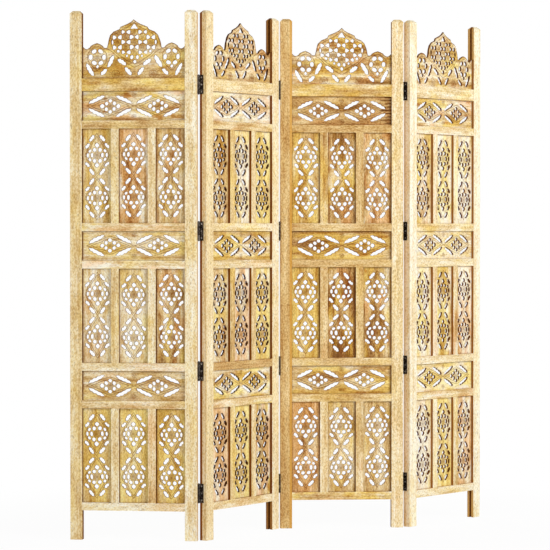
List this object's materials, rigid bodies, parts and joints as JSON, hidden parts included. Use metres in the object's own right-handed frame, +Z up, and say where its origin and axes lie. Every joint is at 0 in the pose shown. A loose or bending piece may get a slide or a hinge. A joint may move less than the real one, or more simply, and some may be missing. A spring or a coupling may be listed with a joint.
{
  "type": "folding screen",
  "caption": "Carved wooden folding screen: hinged frame-and-panel leaves with pierced floral boards and domed crests, standing in a zigzag to divide a room.",
  "frame": {"origin": "on the floor, at the middle of the footprint that the zigzag stands on", "axes": "+Z up, +X along the run of the screen from the first leaf to the last, +Y to the back"},
  "size_m": [1.482, 0.242, 1.65],
  "materials": {
    "frame_wood": "waxed, satin",
    "carved_wood": "waxed, satin",
    "hinge_steel": "dark, worn",
    "screw_steel": "bright, worn"
  },
  "bodies": {
    "leaf_1": {"leaf_1_left_stile": "frame_wood", "leaf_1_right_stile": "frame_wood", "leaf_1_bottom_rail": "frame_wood", "leaf_1_middle_rails": "frame_wood", "leaf_1_top_rail": "frame_wood", "leaf_1_muntins": "frame_wood", "leaf_1_lower_panels": "carved_wood", "leaf_1_middle_panels": "carved_wood", "leaf_1_upper_panels": "carved_wood", "leaf_1_friezes": "carved_wood", "leaf_1_crest": "carved_wood", "hinges_1_left_plates": "hinge_steel", "hinges_1_left_screws": "screw_steel", "hinges_1_pins": "hinge_steel"},
    "leaf_2": {"leaf_2_left_stile": "frame_wood", "leaf_2_right_stile": "frame_wood", "leaf_2_bottom_rail": "frame_wood", "leaf_2_middle_rails": "frame_wood", "leaf_2_top_rail": "frame_wood", "leaf_2_muntins": "frame_wood", "leaf_2_lower_panels": "carved_wood", "leaf_2_middle_panels": "carved_wood", "leaf_2_upper_panels": "carved_wood", "leaf_2_friezes": "carved_wood", "leaf_2_crest": "carved_wood", "hinges_1_right_plates": "hinge_steel", "hinges_1_right_screws": "screw_steel", "hinges_2_left_plates": "hinge_steel", "hinges_2_left_screws": "screw_steel", "hinges_2_pins": "hinge_steel"},
    "leaf_3": {"leaf_3_left_stile": "frame_wood", "leaf_3_right_stile": "frame_wood", "leaf_3_bottom_rail": "frame_wood", "leaf_3_middle_rails": "frame_wood", "leaf_3_top_rail": "frame_wood", "leaf_3_muntins": "frame_wood", "leaf_3_lower_panels": "carved_wood", "leaf_3_middle_panels": "carved_wood", "leaf_3_upper_panels": "carved_wood", "leaf_3_friezes": "carved_wood", "leaf_3_crest": "carved_wood", "hinges_2_right_plates": "hinge_steel", "hinges_2_right_screws": "screw_steel", "hinges_3_left_plates": "hinge_steel", "hinges_3_left_screws": "screw_steel", "hinges_3_pins": "hinge_steel"},
    "leaf_4": {"leaf_4_left_stile": "frame_wood", "leaf_4_right_stile": "frame_wood", "leaf_4_bottom_rail": "frame_wood", "leaf_4_middle_rails": "frame_wood", "leaf_4_top_rail": "frame_wood", "leaf_4_muntins": "frame_wood", "leaf_4_lower_panels": "carved_wood", "leaf_4_middle_panels": "carved_wood", "leaf_4_upper_panels": "carved_wood", "leaf_4_friezes": "carved_wood", "leaf_4_crest": "carved_wood", "hinges_3_right_plates": "hinge_steel", "hinges_3_right_screws": "screw_steel"}
  },
  "joints": [
    {"name": "fold_1", "type": "hinge", "parent": "leaf_1", "child": "leaf_2", "pos_m": [-0.38822, -0.09827, 0.825], "axis": [0, 0, 1], "range_deg": [-62.4, 117.6]},
    {"name": "fold_2", "type": "hinge", "parent": "leaf_2", "child": "leaf_3", "pos_m": [-0.02217, 0.07568, 0.825], "axis": [0, 0, 1], "range_deg": [-128.8, 51.2]},
    {"name": "fold_3", "type": "hinge", "parent": "leaf_3", "child": "leaf_4", "pos_m": [0.36453, -0.04564, 0.825], "axis": [0, 0, 1], "range_deg": [-46.4, 133.6]}
  ]
}
